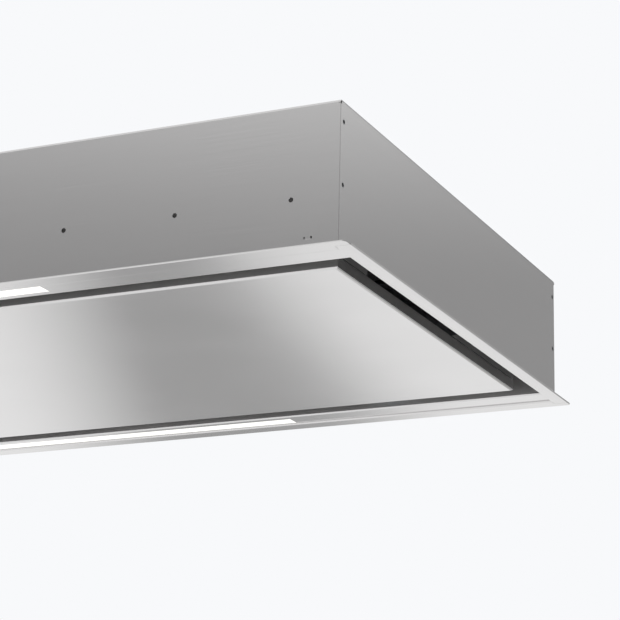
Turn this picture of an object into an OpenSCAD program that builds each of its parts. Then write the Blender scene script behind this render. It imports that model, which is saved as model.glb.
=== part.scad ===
// Slim ceiling range hood: a folded sheet housing sunk into the ceiling, a flat suction panel that
// hinges down between two light bars, grease filters on a deck above it, and a round duct collar.
// The origin is the middle of the flange's underside, +X runs along the hood and +Z points up.
// Heights in the modules count from the ceiling plane, which is the upper face of the flange.

/* [Housing] */
// Length of the housing over its end plates
box_l = 1180; // [1120:10:1400]
// Depth of the housing over its long walls
box_d = 500; // [480:5:560]
// Height of the housing over the ceiling plane
box_h = 117.5; // [114:0.5:140]
// Thickness of the housing sheet
sheet_t = 0.7; // [0.6:0.05:0.8]
// Inside radius of the bends in the housing sheet
bend_r = 1.5; // [1:0.1:2]
// Width of the returns that the long walls turn in behind the end plates
return_w = 13; // [11:0.5:18]
// Height left without a return under the top corners
relief_h = 2.4; // [2.3:0.1:4]
// Gap from the end of the top sheet's folded edges to the end plate's face
top_end_gap = 0.1; // [0.1:0.1:0.5]
// Gap from the edges of an end plate to the corners of the housing
plate_edge_gap = 2.2; // [1.8:0.1:2.6]
// Corner radius at the top of an end plate
plate_corner_r = 1.5; // [1:0.1:2]

/* [Flange] */
// Reach of the flange beyond the walls
flange_w = 11.5; // [9:0.5:16]
// Reach of the long flanges inside the outer face of the long walls
hem_in = 6.5; // [6:0.1:8]
// Reach of the end flanges inside the outer face of the end plates
end_hem_in = 1.5; // [1.4:0.1:2.4]
// Radius on the corners of the long flanges
flange_corner_r = 3; // [2:0.5:5]
// Step between the end of a long flange and the outer edge of an end flange
flange_step = 0.6; // [0.3:0.1:2]
// Open seam between two folded edges that meet
seam_gap = 0.2; // [0.1:0.05:0.4]
// Height of the leg that the flange turns up inside each long wall
leg_h = 26; // [25:0.5:34]

/* [Wall holes] */
// Distance between neighbouring fixing holes in the long walls
hole_pitch = 100; // [80:5:125]
// Least distance from a fixing hole to the end of the wall
hole_end = 35; // [30:1:45]
// Radius of a fixing hole
hole_r = 2; // [1.5:0.1:3]
// Height of the row of fixing holes
hole_z = 41; // [34:0.5:46]
// Width of the small bridge pressed out near each end of a long wall
lance_w = 7; // [5:0.5:9]
// Height of the slit under the bridge
lance_h = 1.8; // [1.2:0.1:3]
// Height of the middle of the slit
lance_z = 9; // [7:0.5:12]
// Distance from the end of the wall to the middle of the bridge
lance_in = 25.2; // [20:0.2:40]
// Distance of the rivets from the long edges of the housing
rivet_in = 6.7; // [6:0.1:8]
// Distance of the lower rivets below the filter deck
rivet_drop = 3; // [3:0.5:10]
// Height of the upper rivets
rivet_high_z = 101; // [90:1:105]
// Radius of a rivet's shank
rivet_r = 2.2; // [1.6:0.05:2.3]

/* [Light bars] */
// Width of a light bar
bar_w = 24.7; // [24:0.1:28]
// Height of a light bar
bar_h = 24; // [22:0.5:26]
// Wall thickness of a light bar
bar_t = 1; // [0.8:0.1:1.4]
// Height of the web that carries the light board
web_z = 16; // [14:0.5:17]
// Gap between a light bar and the flange beside it
bar_gap = 0.2; // [0.1:0.1:0.6]
// Length of a lit strip
led_l = 650; // [400:10:900]
// Width of a lit strip
led_w = 15.4; // [14:0.2:15.6]
// Width of the bar's underside outside the lit strip
led_lip = 1.8; // [1.7:0.1:3]
// Thickness of a diffuser
diffuser_t = 2; // [1.5:0.1:3]
// Width of the light boards
board_w = 14; // [10:0.5:15.5]
// Thickness of every circuit board
board_t = 1.6; // [1:0.1:2]
// Distance between neighbouring light chips
chip_pitch = 25; // [15:1:50]

/* [Suction panel] */
// Air slot between the panel and each light bar
slot_long = 20.3; // [18:0.1:26]
// Air slot between the panel and each end flange
slot_end = 22; // [20:0.5:30]
// Thickness of the panel sheet
panel_t = 1.2; // [0.8:0.1:1.5]
// Height of the panel's turned-up rim
rim_h = 10.2; // [9:0.1:12]
// Outside radius of the bend between the panel's face and its rim
panel_r = 2; // [2:0.5:3]
// Width of the lip that the rim turns in at its top
lip_w = 8; // [5:0.5:12]
// Height of the stiffeners inside the panel
stiffener_h = 6.8; // [5:0.2:6.8]
// Width of a stiffener across its crown
crown_w = 24; // [16:1:40]
// Width of a stiffener's feet
foot_w = 12; // [8:1:20]

/* [Filter deck] */
// Height of the underside of the deck that carries the filters
deck_z = 53; // [51:0.5:56]
// Height of the deck's turned-up edges along the long walls
deck_edge_h = 12; // [8:0.5:20]
// Gap between the panel's rim and the skirts above it
skirt_gap = 1; // [0.6:0.1:1.4]
// Width of sheet left above the air windows
window_head = 8; // [6:0.5:12]
// Width of the legs between the air windows in the long skirts
window_leg = 62; // [60:1:90]
// Distance from a corner of the skirts to the air window in an end skirt
window_in = 57.2; // [50:0.2:80]
// Length of the slanted corner at the rear of the right air window
window_slant = 17; // [8:1:24]
// Width of the relief slit in the right end skirt
slit_w = 1; // [0.6:0.1:2]

/* [Grease filters] */
// Gap between neighbouring filters
filter_gap = 12; // [10:0.5:20]
// Clear width between the right filter's place and the control box
filter_clear = 19.3; // [14:0.1:30]
// Distance of the filters from the skirts along the long walls
filter_in = 33.3; // [28:0.1:45]
// Thickness of a filter
filter_h = 15; // [14:0.5:20]
// Sheet thickness of the filter frames
frame_t = 1; // [0.8:0.1:1.2]
// Width of the filter frames' flanges
frame_w = 20; // [18:0.5:26]
// Width of the deck ledge under each edge of a filter
ledge_w = 10; // [8:0.5:12]
// Gap round a filter inside its seat
seat_gap = 1; // [0.5:0.1:1.5]
// Height of the upstand round each filter's seat
seat_h = 8; // [4:0.5:12]
// Distance between neighbouring baffle blades
blade_pitch = 24; // [20:1:32]
// Width of a baffle blade
blade_w = 16; // [14:0.5:18]
// Height of a baffle blade's turned edges
blade_h = 5; // [3:0.5:5.5]
// Radius of the wire in the lifting bails
bail_r = 1.5; // [1.2:0.1:1.8]
// Half the distance between a bail's legs
bail_hw = 25; // [18:1:40]
// Drop of a bail below its ears
bail_drop = 22; // [16:1:24]

/* [Duct collar] */
// Outer radius of the duct collar
duct_r = 74.5; // [60:0.5:80]
// Wall thickness of the duct collar
duct_t = 1.5; // [1:0.1:2]
// Height of the duct collar over its gasket
duct_h = 72; // [60:1:90]
// Width of the collar's base ring
base_w = 20; // [16:1:28]
// Thickness of the gasket under the base ring
gasket_t = 2; // [1:0.5:4]
// Height of the damper's spindle over the gasket
spindle_h = 9; // [8:0.5:14]
// Radius of the damper's spindle
spindle_r = 2; // [1.5:0.1:2.5]
// Thickness of a damper flap
flap_t = 1; // [0.8:0.1:1.4]
// Number of screws in the base ring
collar_screws_n = 6; // [4:1:8]

/* [Hangers] */
// Distance from a slot in a hanger bracket to the end of the housing
hanger_in_x = 50; // [46:1:60]
// Distance from a slot in a hanger bracket to the long wall
hanger_in_y = 44; // [42:1:46]
// Thickness of a hanger bracket
hanger_t = 2; // [1.5:0.1:3]
// Height of a hanger bracket over the housing
hanger_h = 12; // [11:0.5:16]
// Width of a hanger bracket
hanger_w = 28; // [24:1:32]
// Length of a hanger bracket's raised bridge
bridge_l = 46; // [40:1:50]
// Length of a hanger bracket's feet
hanger_foot = 16; // [12:0.5:18]
// Length of the slot for the hanging rod
rod_slot_l = 20; // [14:1:24]
// Half the width of the slot for the hanging rod
rod_slot_r = 4.5; // [3.5:0.1:5.5]

/* [Panel hinges] */
// Distance of the hinges from the ends of the panel
hinge_in = 135.2; // [134:0.2:137]
// Length of a hinge
hinge_l = 44; // [30:1:46]
// Height of the hinge axis
hinge_z = 16; // [15.5:0.5:17]
// Outer radius of the hinge knuckles
knuckle_r = 3.2; // [3:0.1:3.4]
// Radius of a hinge pin
pin_r = 1.5; // [1:0.1:1.8]
// Height of the hinge leaves
leaf_h = 18; // [14:0.5:24]
// Thickness of the hinge leaves
leaf_t = 1.2; // [1:0.1:1.5]

/* [Magnet catches] */
// Length of a catch housing
catch_l = 40; // [30:1:50]
// Depth of a catch housing
catch_d = 14; // [12:0.5:18]
// Height of a catch housing
catch_h = 14; // [10:0.5:18]
// Gap between a magnet and its strike plate
catch_gap = 0.3; // [0.2:0.05:0.5]
// Thickness of a strike plate
strike_t = 1.2; // [0.8:0.1:1.5]

/* [Control box] */
// Length of the control box along the hood
control_l = 108; // [100:1:112]
// Depth of the control box
control_d = 138.5; // [130:0.5:144]
// Sheet thickness of the control box
control_t = 1; // [0.8:0.1:1.2]
// Height of the lid seam
lid_z = 17; // [16.5:0.5:19]
// Length of the light driver
case_l = 90; // [70:1:96]
// Width of the light driver
case_w = 38; // [28:1:40]
// Height of the light driver
case_h = 28; // [18:1:34]
// Length of the receiver board
receiver_l = 42; // [30:1:44]
// Width of the receiver board
receiver_w = 40; // [30:1:42]
// Height of the receiver board's standoffs
standoff_h = 9; // [6:0.5:12]

/* [Cables] */
// Radius of the threaded shank of a cable gland
gland_r = 6; // [5:0.5:8]
// Radius of the cable hole in a gland's seal
cable_r = 3.5; // [2.5:0.1:4]
// Height of a cable gland over the housing
gland_h = 19; // [17:0.5:24]
// Radius of the leads to the light bars
lead_r = 2; // [1.5:0.1:2.2]
// Radius of the bends in the leads, at their middle line
lead_bend = 10; // [8:0.5:11]
// Height of the leads below the deck
lead_z = 46; // [44:0.5:47]

/* [Screws] */
// Radius of the small screws' shanks
screw_r = 1.5; // [1:0.1:1.8]
// Gap between a shank and its hole
hole_play = 0.08; // [0.05:0.01:0.1]

/* [Hidden] */
$fn = 48;

// Overrun of every cut past the sheet that it goes through
over = 0.5;
// Side of a right angle
right_angle = 90;

// Halves of the housing, and the outside radius of its bends
hx = box_l / 2;
hy = box_d / 2;
bend_out = bend_r + sheet_t;
// Doubled sheet of the flange
flange_t = 2 * sheet_t;
// Where the folded corner of a long wall starts, and the height where it ends
corner_x = hx - sheet_t - bend_out;
corner_top = box_h - relief_h;
// Half the length of the long flanges inside the end flanges, and outside them
flange_in_x = hx - end_hem_in - seam_gap;
flange_out_x = hx + flange_w - flange_step;
// Upper edge of the end plates
plate_top = box_h - sheet_t - seam_gap;

// Light bars: outer and middle line of the front one, as distances from the middle of the hood
bar_out = hy - hem_in - bar_gap;
bar_mid = bar_out - bar_w / 2;
bar_hl = flange_in_x;
// Middle line of the lit strip
led_mid = bar_out - led_lip - led_w / 2;
// Corner radius along the lower edges of the bars
bar_edge_r = 1.4;
// Play of a diffuser in its opening, and the overlap that holds it
diffuser_play = 0.1;
diffuser_hold = 0.6;
board_hl = led_l / 2 - board_w / 3;
// Places of the light bar screws as shares of half the bar's length
bar_screw_shares = [-0.92, -0.38, 0.38, 0.92];
chip_l = 3.5;
chip_w = 2.8;
chip_h = 0.7;

// Suction panel: half length and half depth
panel_hl = hx - end_hem_in - slot_end;
panel_hd = bar_out - bar_w - slot_long;
lip_t = panel_t;

// Filter deck
deck_hl = corner_x - seam_gap;
deck_hd = hy - sheet_t;
deck_top = deck_z + sheet_t;
skirt_z = rim_h + skirt_gap;
window_top = deck_z - window_head;

// Control box, in the rear right corner inside the skirts
control_gap = 0.5;
control_x1 = panel_hl - sheet_t - control_gap;
control_x0 = control_x1 - control_l;
control_y1 = panel_hd - sheet_t - control_gap;
control_y0 = control_y1 - control_d;
control_top = box_h - sheet_t;
ceiling_z = control_top - control_t;
lid_tab = 10;
lid_screw_in = lid_tab / 2 + control_t;
driver_x = control_x0 + control_t + case_w / 2 + lead_r;
driver_y = (control_y0 + control_y1) / 2 - gland_r;
unit_x = control_x1 - control_t - lead_r - receiver_w / 2;

// Grease filters, evenly about the middle and clear of the control box
filter_places = [-1, 0, 1];
filter_pitch = (control_x0 - filter_clear) * 2 / 3;
filter_l = filter_pitch - filter_gap;
filter_d = 2 * (panel_hd - filter_in);
window_l = filter_pitch - window_leg;
filter_top = deck_top + filter_h;
bail_y = -(filter_d / 2 - (frame_w + ledge_w) / 2);
ear_r = 2 * bail_r + frame_t / 2;
ear_t = 1.5;
ear_x = bail_hw + bail_r + frame_t;
bail_z = deck_z - bail_r - frame_t;

// Duct collar and damper
duct_in = duct_r - duct_t;
duct_z = box_h + gasket_t;
spindle_z = duct_z + spindle_h;
base_t = duct_t;
flap_r = duct_in - duct_t * 4 / 5;
// Ring that the closed flaps come down on
stop_w = 5;
stop_t = 1.8;
stop_gap = 0.3;
flap_knuckle_r = spindle_r + flap_t * 6 / 5;
flap_inner = flap_knuckle_r + stop_gap;
flap_knuckle_l = 20;
knuckle_play = 0.05;
collar_screw_r = duct_r + base_w * 3 / 5;

// Hangers
hanger_x = hx - hanger_in_x;
hanger_y = hy - hanger_in_y;
hanger_screw_x = bridge_l / 2 + hanger_foot * 5 / 8;

// Panel hinges: the axis runs along the outside of the rear rim
hinge_x = panel_hl - hinge_in;
hinge_y = panel_hd + knuckle_r;
knuckle_l = hinge_l / 4;
hinge_gap = 0.3;
// Running play of the hinge pins in the moving knuckles
hinge_play = 0.05;
hinge_screw_x = hinge_l / 4;

// Magnet catches, on the front skirt between the air windows
catch_x = filter_pitch / 2;
strike_top = rim_h + strike_t;
catch_z = strike_top + catch_gap;
magnet_l = catch_l * 3 / 4;
catch_out = panel_hd - sheet_t;

// Cable glands, in the rear of the control box's top
gland_pitch = 4 * gland_r;
gland_x = control_x1 - control_t - 3 * gland_r;
gland_y = control_y1 - control_t - 3 * gland_r;
gland_hex_r = gland_r * 3 / 2;
gland_hex_h = gland_h / 4;
locknut_h = gland_r / 2;
seal_r = gland_r * 3 / 4;

// Leads
lead_x = (control_x0 + control_x1) / 2;
lead_channel_z = (web_z + bar_t + bar_h) / 2;
lead_end_x = led_l / 2;
connector_l = 14;
connector_w = 10;
connector_h = 5;
clip_w = 8;
clip_t = 0.8;

// Screw heads
head_r = 2 * screw_r;
head_h = screw_r;

// Colours
c_steel = "#b4b6b8";
c_inner = "#8f9295";
c_zinc = "#9fa3a6";
c_opal = "#f4f4f2";
c_board = "#e8e8e0";
c_plastic = "#2c2d2f";
c_rubber = "#1c1c1d";
c_filter = "#a9abad";
c_green = "#2f5a3c";

// Unit vector from point a to point b
function heading(a, b) = (b - a) / norm(b - a);

// Places of n things, pitch apart, about the middle
function spread(n, pitch) = [for (i = [0 : n - 1]) (i - (n - 1) / 2) * pitch];

// Sheet seen on edge: straight legs along the points of its middle line, with a round bend at
// each inner point. Neighbouring legs are square to each other.
module folded(path, t, r) {
    mid = r + t / 2;
    last = len(path) - 1;
    for (i = [0 : last - 1]) {
        d = heading(path[i], path[i + 1]);
        a = path[i] + (i > 0 ? mid : 0) * d;
        b = path[i + 1] - (i < last - 1 ? mid : 0) * d;
        translate(a) rotate(atan2(d.y, d.x)) translate([0, -t / 2]) square([norm(b - a), t]);
    }
    for (i = [1 : 1 : last - 1]) {
        d1 = heading(path[i - 1], path[i]);
        d2 = heading(path[i], path[i + 1]);
        outward = d1 - d2;
        side = r + t;
        translate(path[i] - mid * outward) intersection() {
            difference() {
                circle(r + t);
                circle(r);
            }
            translate([outward.x < 0 ? -side : 0, outward.y < 0 ? -side : 0]) square(side);
        }
    }
}

// Rectangle with round corners, centred
module round_rect(w, h, r) {
    square([w - 2 * r, h], center = true);
    square([w, h - 2 * r], center = true);
    for (x = [-1, 1], y = [-1, 1]) translate([x * (w / 2 - r), y * (h / 2 - r)]) circle(r);
}

// Sweeps a drawing in Y and Z along X, and a drawing in X and Z along Y, both centred
module along_x(l) {
    rotate([right_angle, 0, right_angle]) linear_extrude(l, center = true) children();
}

module along_y(l) { rotate([right_angle, 0, 0]) linear_extrude(l, center = true) children(); }

// Block between two corners
module block(a, b) { translate(a) cube(b - a); }

// Cylinders along X and along Y, centred
module rod_x(r, l) { rotate([0, right_angle, 0]) cylinder(r = r, h = l, center = true); }
module rod_y(r, l) { rotate([right_angle, 0, 0]) cylinder(r = r, h = l, center = true); }

// Pan-head screw that points down, its head's underside at height zero
module screw(l) {
    cylinder(r = head_r, h = head_h * 2 / 3);
    translate([0, 0, head_h * 2 / 3]) cylinder(r1 = head_r, r2 = head_r * 3 / 4, h = head_h / 3);
    translate([0, 0, -l]) cylinder(r = screw_r, h = l);
}

// Same thing at both ends, both sides or all four corners of the hood
module both_ends() { for (s = [0, 1]) mirror([s, 0, 0]) children(); }
module both_sides() { for (s = [0, 1]) mirror([0, s, 0]) children(); }
module four_corners() { both_ends() both_sides() children(); }

// Doubled flange on edge, folded round at its outer edge: reach from out to in, from the middle
module flange_edge(out, in) {
    translate([out - sheet_t, sheet_t]) circle(sheet_t);
    translate([in, 0]) square([out - sheet_t - in, flange_t]);
}

// Top and long walls: one sheet, folded along the top edges and out into the flange
module main_shell() {
    wall_y = hy - sheet_t / 2;
    roof_z = box_h - sheet_t / 2;
    leaf_z = -sheet_t / 2;
    out_y = hy + flange_w - sheet_t;
    color(c_steel) difference() {
        union() {
            difference() {
                along_x(box_l - 2 * top_end_gap)
                    folded([
                        [-out_y, leaf_z], [-wall_y, leaf_z], [-wall_y, roof_z],
                        [wall_y, roof_z], [wall_y, leaf_z], [out_y, leaf_z]
                    ], sheet_t, bend_r);
                four_corners()
                    block([corner_x, hy - bend_out, -flange_t - over],
                          [hx + over, hy + flange_w, corner_top]);
                four_corners() translate([hx - lance_in, wall_y, lance_z])
                    cube([lance_w, sheet_t + 2 * over, lance_h], center = true);
            }
            along_x(box_l) translate([0, roof_z])
                square([box_d - 2 * bend_out, sheet_t], center = true);
            four_corners() translate([0, 0, seam_gap])
                linear_extrude(corner_top - seam_gap)
                    folded([
                        [corner_x - over, wall_y], [hx - sheet_t * 3 / 2, wall_y],
                        [hx - sheet_t * 3 / 2, hy - return_w]
                    ], sheet_t, bend_r);
            both_sides() translate([0, 0, -flange_t]) long_flange();
            four_corners() lance_bridge();
        }
        both_sides() for (x = spread(floor((box_l - 2 * hole_end) / hole_pitch) + 1, hole_pitch))
            translate([x, wall_y, hole_z]) rod_y(hole_r, sheet_t + 2 * over);
        four_corners() rivet_holes();
        both_sides() at_bar_screws() translate([0, bar_gap, 0]) rod_y(screw_r + hole_play, 4 * sheet_t);
        four_corners() at_bracket_screws()
            cylinder(r = screw_r + hole_play, h = 4 * over + sheet_t, center = true);
        translate([0, 0, box_h]) {
            cylinder(r = duct_in, h = 4 * over + sheet_t, center = true);
            at_collar_screws() cylinder(r = screw_r + hole_play, h = 4 * over + sheet_t, center = true);
            at_glands() cylinder(r = gland_r + hole_play, h = 4 * over + sheet_t, center = true);
        }
    }
}

// Rear long flange: an outer strip past the corners, an inner strip between the end flanges,
// and the leg that it turns up inside the wall
module long_flange() {
    strip_in = hy + plate_edge_gap;
    leg_y = hy - hem_in;
    intersection() {
        along_x(2 * flange_out_x) flange_edge(hy + flange_w, strip_in);
        linear_extrude(flange_t) union() {
            translate([0, hy]) round_rect(2 * flange_out_x, 2 * flange_w, flange_corner_r);
        }
    }
    along_x(2 * corner_x)
        translate([leg_y + bend_r, 0]) square([strip_in - leg_y - bend_r + seam_gap, flange_t]);
    along_x(2 * flange_in_x)
        folded([
            [leg_y + sheet_t / 2, leg_h], [leg_y + sheet_t / 2, sheet_t / 2], [strip_in, sheet_t / 2]
        ], sheet_t, bend_r / 3);
}

// Small bridge over the slit near the end of a long wall
module lance_bridge() {
    translate([hx - lance_in, hy, lance_z])
        cube([lance_w * 2 / 3, sheet_t, lance_h + sheet_t], center = true);
}

// Rivet holes of the rear right corner
module rivet_holes() {
    for (z = [deck_z - rivet_drop, rivet_high_z])
        translate([hx - sheet_t, hy - rivet_in, z]) rod_x(rivet_r + hole_play, 4 * sheet_t);
}

// End plate: a flat wall between the long walls, folded out into its own flange
module end_plate() {
    leaf_z = -sheet_t / 2;
    plate_hd = hy - plate_edge_gap;
    color(c_steel) difference() {
        union() {
            translate([hx - sheet_t, 0, 0]) rotate([right_angle, 0, right_angle]) linear_extrude(sheet_t) {
                translate([0, plate_top / 2]) round_rect(2 * plate_hd, plate_top, plate_corner_r);
                translate([-plate_hd, -sheet_t]) square([2 * plate_hd, plate_top / 2]);
            }
            along_y(2 * plate_hd)
                folded([
                    [hx + flange_w - sheet_t, leaf_z], [hx - sheet_t / 2, leaf_z],
                    [hx - sheet_t / 2, leaf_z + 2 * bend_out]
                ], sheet_t, bend_r);
            along_y(2 * (hy + plate_edge_gap - seam_gap)) translate([0, -flange_t]) {
                flange_edge(hx + flange_w, hx + bend_r);
                translate([hx - end_hem_in, 0]) square([end_hem_in + bend_r, sheet_t]);
            }
            along_y(2 * plate_hd) translate([hx - end_hem_in, -flange_t])
                square([end_hem_in + bend_r, flange_t]);
        }
        both_sides() rivet_holes();
    }
}

module end_plate_right() { end_plate(); }
module end_plate_left() { mirror([1, 0, 0]) end_plate(); }

// Hollow blind rivets that hold the end plates to the returns
module end_plate_rivets() {
    shank_l = flange_t + 2 * sheet_t;
    color(c_zinc) four_corners() for (z = [deck_z - rivet_drop, rivet_high_z])
        translate([hx, hy - rivet_in, z]) rotate([0, -right_angle, 0]) difference() {
            union() {
                cylinder(r = rivet_r, h = shank_l);
                translate([0, 0, flange_t]) cylinder(r = rivet_r * 6 / 5, h = sheet_t);
            }
            translate([0, 0, -over]) cylinder(r = rivet_r * 3 / 4, h = shank_l + 2 * over);
        }
}

// Hat-shaped bracket that straddles the end of a hanging rod
module hanger_bracket() {
    hat_hl = bridge_l / 2 - hanger_t / 2;
    low = box_h + hanger_t / 2;
    high = box_h + hanger_h - hanger_t / 2;
    color(c_zinc) difference() {
        translate([hanger_x, hanger_y, 0]) along_y(hanger_w)
            folded([
                [-hat_hl - hanger_foot, low], [-hat_hl, low], [-hat_hl, high],
                [hat_hl, high], [hat_hl, low], [hat_hl + hanger_foot, low]
            ], hanger_t, bend_r);
        translate([hanger_x, hanger_y, box_h + hanger_h])
            linear_extrude(2 * hanger_t + 2 * over, center = true) {
                square([rod_slot_l - 2 * rod_slot_r, 2 * rod_slot_r], center = true);
                for (s = [-1, 1]) translate([s * (rod_slot_l / 2 - rod_slot_r), 0]) circle(rod_slot_r);
            }
        at_bracket_screws() cylinder(r = screw_r + hole_play, h = 4 * hanger_t, center = true);
    }
}

// Two screw places on the feet of the rear right bracket
module at_bracket_screws() {
    for (s = [-1, 1]) translate([hanger_x + s * hanger_screw_x, hanger_y, box_h]) children();
}

module hanger_bracket_rear_right() { hanger_bracket(); }
module hanger_bracket_rear_left() { mirror([1, 0, 0]) hanger_bracket(); }
module hanger_bracket_front_right() { mirror([0, 1, 0]) hanger_bracket(); }
module hanger_bracket_front_left() { mirror([1, 0, 0]) mirror([0, 1, 0]) hanger_bracket(); }

module bracket_screws() {
    color(c_zinc) four_corners() at_bracket_screws()
        translate([0, 0, hanger_t]) screw(hanger_t + 3 * sheet_t);
}

// Light bar on edge: a closed channel below the web and an open one above it
module bar_section() {
    difference() {
        union() {
            translate([0, bar_h / 2]) round_rect(bar_w, bar_h, bar_edge_r);
            translate([-bar_w / 2, bar_h / 2]) square([bar_w, bar_h / 2]);
        }
        translate([-bar_w / 2 + bar_t, bar_t]) square([bar_w - 2 * bar_t, web_z - bar_t]);
        translate([-bar_w / 2 + bar_t, web_z + bar_t]) square([bar_w - 2 * bar_t, bar_h]);
    }
}

// Screw places of the rear light bar, high in its outer side
module at_bar_screws() {
    for (share = bar_screw_shares)
        translate([share * bar_hl, bar_out, (web_z + bar_t + bar_h) / 2]) children();
}

module light_bar() {
    color(c_steel) difference() {
        translate([0, bar_mid, 0]) along_x(2 * bar_hl) bar_section();
        translate([0, led_mid, 0]) cube([led_l, led_w, 4 * bar_t], center = true);
        at_bar_screws() rod_y(screw_r + hole_play, 4 * bar_t);
    }
}

module light_bar_rear() { light_bar(); }
module light_bar_front() { mirror([0, 1, 0]) light_bar(); }

// Plates that close the ends of the light bars
module light_bar_end_caps() {
    color(c_plastic) four_corners()
        block([bar_hl - 2 * bar_t, bar_mid - bar_w / 2 + bar_t, bar_t],
              [bar_hl, bar_mid + bar_w / 2 - bar_t, web_z]);
}

// Screws from inside the bars into the legs of the flange
module light_bar_screws() {
    color(c_zinc) both_sides() at_bar_screws()
        translate([0, -bar_t, 0]) rotate([right_angle, 0, 0]) screw(bar_t + bar_gap + 2 * sheet_t);
}

// Opal strip: fills the opening of the bar and rests on its inside
module diffuser() {
    color(c_opal) translate([0, led_mid, 0]) along_x(led_l - 2 * diffuser_play) union() {
        translate([-led_w / 2 + diffuser_play, 0]) square([led_w - 2 * diffuser_play, diffuser_t]);
        translate([-led_w / 2 - diffuser_hold, bar_t])
            square([led_w + 2 * diffuser_hold, diffuser_t - bar_t]);
    }
}

module diffuser_rear() { diffuser(); }
module diffuser_front() { mirror([0, 1, 0]) diffuser(); }

// Light board under the web, with a row of chips facing down
module led_board() {
    color(c_board) translate([0, led_mid, 0]) {
        block([-board_hl, -board_w / 2, web_z - board_t], [board_hl, board_w / 2, web_z]);
        for (x = spread(floor((2 * board_hl - chip_l) / chip_pitch), chip_pitch))
            translate([x, 0, web_z - board_t - chip_h / 2]) cube([chip_l, chip_w, chip_h], center = true);
    }
}

module led_board_rear() { led_board(); }
module led_board_front() { mirror([0, 1, 0]) led_board(); }

// Quarter bend of a lead in the plane of the drawing, centred on the bend's own centre
module lead_elbow() {
    rotate_extrude(angle = right_angle) translate([lead_bend, 0]) circle(lead_r);
}

// Lead from the control box to the rear light bar: out over the slot, down into the open channel
// and along it to the connector
module led_lead(from_y) {
    run_y = bar_mid - lead_bend;
    low_z = lead_channel_z + lead_bend;
    color(c_plastic) union() {
        translate([lead_x, (from_y + run_y) / 2, lead_z]) rod_y(lead_r, run_y - from_y);
        translate([lead_x, run_y, lead_z - lead_bend]) rotate([right_angle, 0, right_angle]) lead_elbow();
        translate([lead_x, bar_mid, low_z]) cylinder(r = lead_r, h = lead_z - lead_bend - low_z);
        translate([lead_x - lead_bend, bar_mid, low_z]) rotate([-right_angle, 0, 0]) lead_elbow();
        translate([(lead_x - lead_bend + lead_end_x + connector_l) / 2, bar_mid, lead_channel_z])
            rod_x(lead_r, lead_x - lead_bend - lead_end_x - connector_l);
    }
}

module led_lead_rear() { led_lead(control_y1 - lead_bend); }
module led_lead_front() { mirror([0, 1, 0]) led_lead(-control_y0 - lead_bend); }

// Plug blocks on the webs of the light bars
module led_connectors() {
    color(c_plastic) both_sides() translate([lead_end_x, bar_mid - connector_w / 2, web_z + bar_t])
        cube([connector_l, connector_w, connector_h]);
}

// Clips that hold the front lead under the deck
module lead_clips() {
    clip_r = lead_r + hole_play;
    foot_l = 4 * lead_r;
    color(c_plastic) for (y = [-panel_hd / 2, 0])
        translate([lead_x, y, 0]) along_y(clip_w) difference() {
            union() {
                translate([0, lead_z]) circle(clip_r + clip_t);
                translate([-clip_r - clip_t, lead_z]) square([2 * (clip_r + clip_t), deck_z - lead_z]);
                translate([0, deck_z - clip_t]) square([clip_r + clip_t + foot_l, clip_t]);
            }
            translate([0, lead_z]) circle(clip_r);
        }
}

// Deck across the housing, with the skirts that carry the panel's hinges and catches
module filter_deck() {
    edge_y = deck_hd - sheet_t / 2;
    seat_l = filter_l + 2 * seat_gap;
    seat_d = filter_d + 2 * seat_gap;
    color(c_inner) difference() {
        union() {
            along_x(2 * deck_hl)
                folded([
                    [-edge_y, deck_z + deck_edge_h], [-edge_y, deck_z + sheet_t / 2],
                    [edge_y, deck_z + sheet_t / 2], [edge_y, deck_z + deck_edge_h]
                ], sheet_t, bend_r);
            difference() {
                block([-panel_hl, -panel_hd, skirt_z], [panel_hl, panel_hd, deck_top]);
                block([sheet_t - panel_hl, sheet_t - panel_hd, -over],
                      [panel_hl - sheet_t, panel_hd - sheet_t, deck_z]);
                skirt_windows();
            }
            for (i = filter_places) translate([i * filter_pitch, 0, deck_top + seat_h / 2])
                cube([seat_l + 2 * sheet_t, seat_d + 2 * sheet_t, seat_h], center = true);
        }
        for (i = filter_places) translate([i * filter_pitch, 0, deck_top]) {
            translate([0, 0, seat_h]) cube([seat_l, seat_d, 2 * seat_h], center = true);
            cube([filter_l - 2 * ledge_w, filter_d - 2 * ledge_w, 4 * sheet_t], center = true);
        }
        block([control_x0 - control_gap, control_y0 - control_gap, skirt_z],
              [control_x1 + control_gap, control_y1 + control_gap, deck_top + over]);
        for (y = [-catch_out, catch_out])
            translate([lead_x, y, lead_z]) rod_y(lead_r + 2 * seam_gap, 4 * sheet_t);
        at_hinge_screws() rod_y(screw_r + hole_play, 4 * sheet_t);
    }
}

// Air windows in the skirts, open at the skirts' lower edges
module skirt_windows() {
    high = window_top - skirt_z + over;
    deep = 4 * sheet_t;
    end_y0 = window_in - panel_hd;
    for (i = filter_places, s = [-1, 1])
        translate([i * filter_pitch - window_l / 2, s * (panel_hd - sheet_t / 2) - deep / 2, skirt_z - over])
            cube([window_l, deep, high]);
    translate([-panel_hl - deep / 2, end_y0, skirt_z - over]) cube([deep, -2 * end_y0, high]);
    translate([panel_hl - deep / 2, 0, 0]) rotate([right_angle, 0, right_angle]) linear_extrude(deep) {
        polygon([
            [end_y0, skirt_z - over], [control_y0 - window_slant, skirt_z - over],
            [control_y0, skirt_z + skirt_z / 2], [control_y0, window_top], [end_y0, window_top]
        ]);
        translate([control_y0 + 2 * window_slant, skirt_z - over]) square([slit_w, window_slant]);
    }
}

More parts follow.
